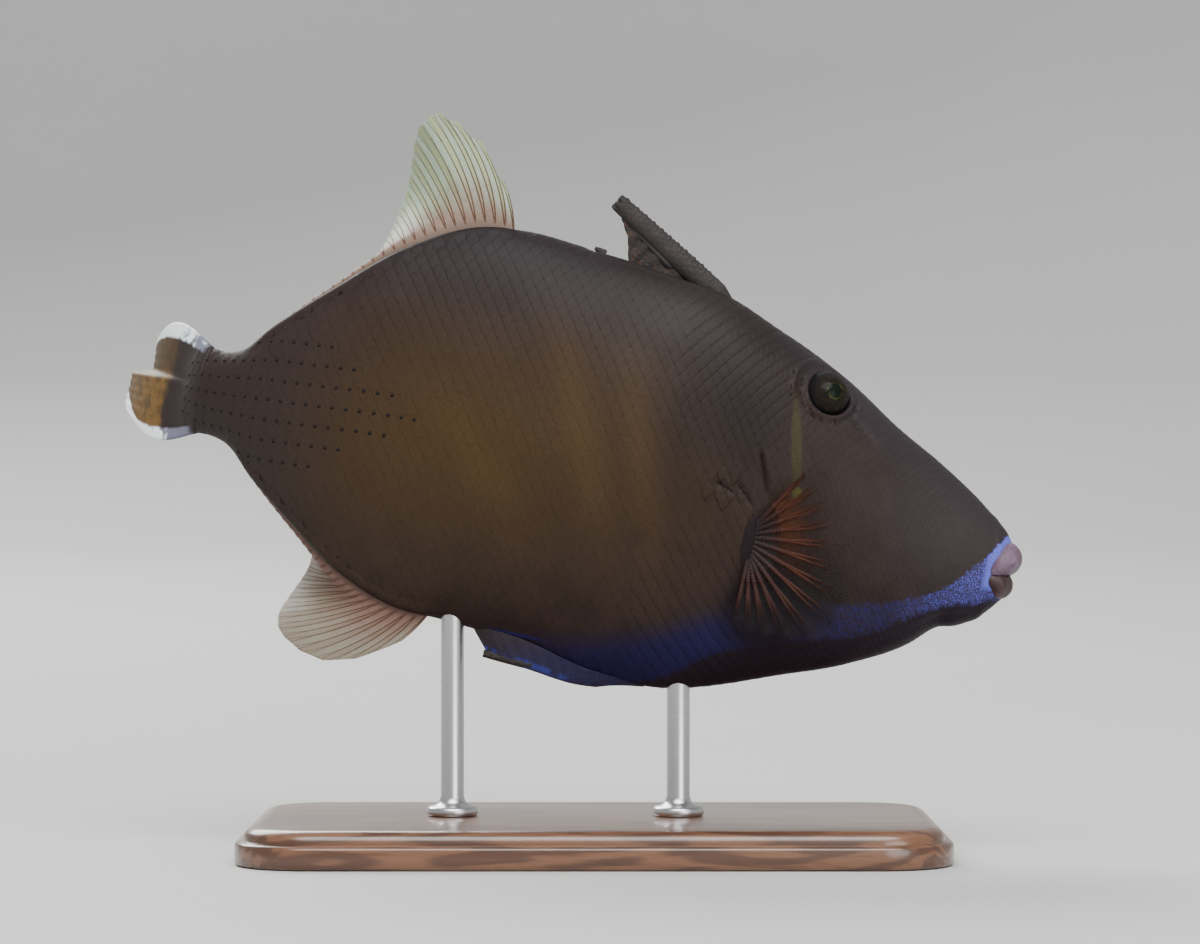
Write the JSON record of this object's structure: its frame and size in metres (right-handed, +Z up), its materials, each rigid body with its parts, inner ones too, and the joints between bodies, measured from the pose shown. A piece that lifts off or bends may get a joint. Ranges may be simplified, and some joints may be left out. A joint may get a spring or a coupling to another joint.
{
  "type": "flagtail triggerfish model",
  "caption": "Life-size still model of a flagtail triggerfish, deep and flat-sided with a small mouth, held on a plain flat base by two short rods.",
  "frame": {"origin": "bottom centre of the bounding box, on the surface that the stand rests on", "axes": "+X towards the head, -Y out of the fish's right side, +Z up"},
  "size_m": [0.1971, 0.084, 0.1601],
  "materials": {
    "skin": "dark brown-grey scaled skin, half gloss, olive-gold in the middle and blue along the belly",
    "tail_web": "dark brown fin turning yellow-brown, with a white edge",
    "fin_web": "thin translucent fin skin, mauve-pink at the base and pale green-beige at the tips",
    "pectoral_web": "clear fin skin between orange-brown rays",
    "spine_skin": "dark grey-brown rough spine with a dark skin behind it",
    "lip_pink": "soft mauve-pink lip",
    "lip_brown": "soft dark brown lip",
    "eye_gloss": "wet, clear and glossy dark green eye",
    "base_wood": "dark polished wood",
    "rod_steel": "fine brushed steel"
  },
  "bodies": {
    "root": {"head": "skin", "trunk": "skin", "tail": "skin", "tail_fin": "tail_web", "second_dorsal_fin": "fin_web", "anal_fin": "fin_web", "first_dorsal_fin": "spine_skin", "belly_flap": "skin", "upper_lip": "lip_pink", "lower_lip": "lip_brown", "eye_right": "eye_gloss", "eye_left": "eye_gloss", "pectoral_fin_right": "pectoral_web", "pectoral_fin_left": "pectoral_web", "stand_base": "base_wood", "stand_rod_front": "rod_steel", "stand_rod_rear": "rod_steel"}
  },
  "joints": []
}
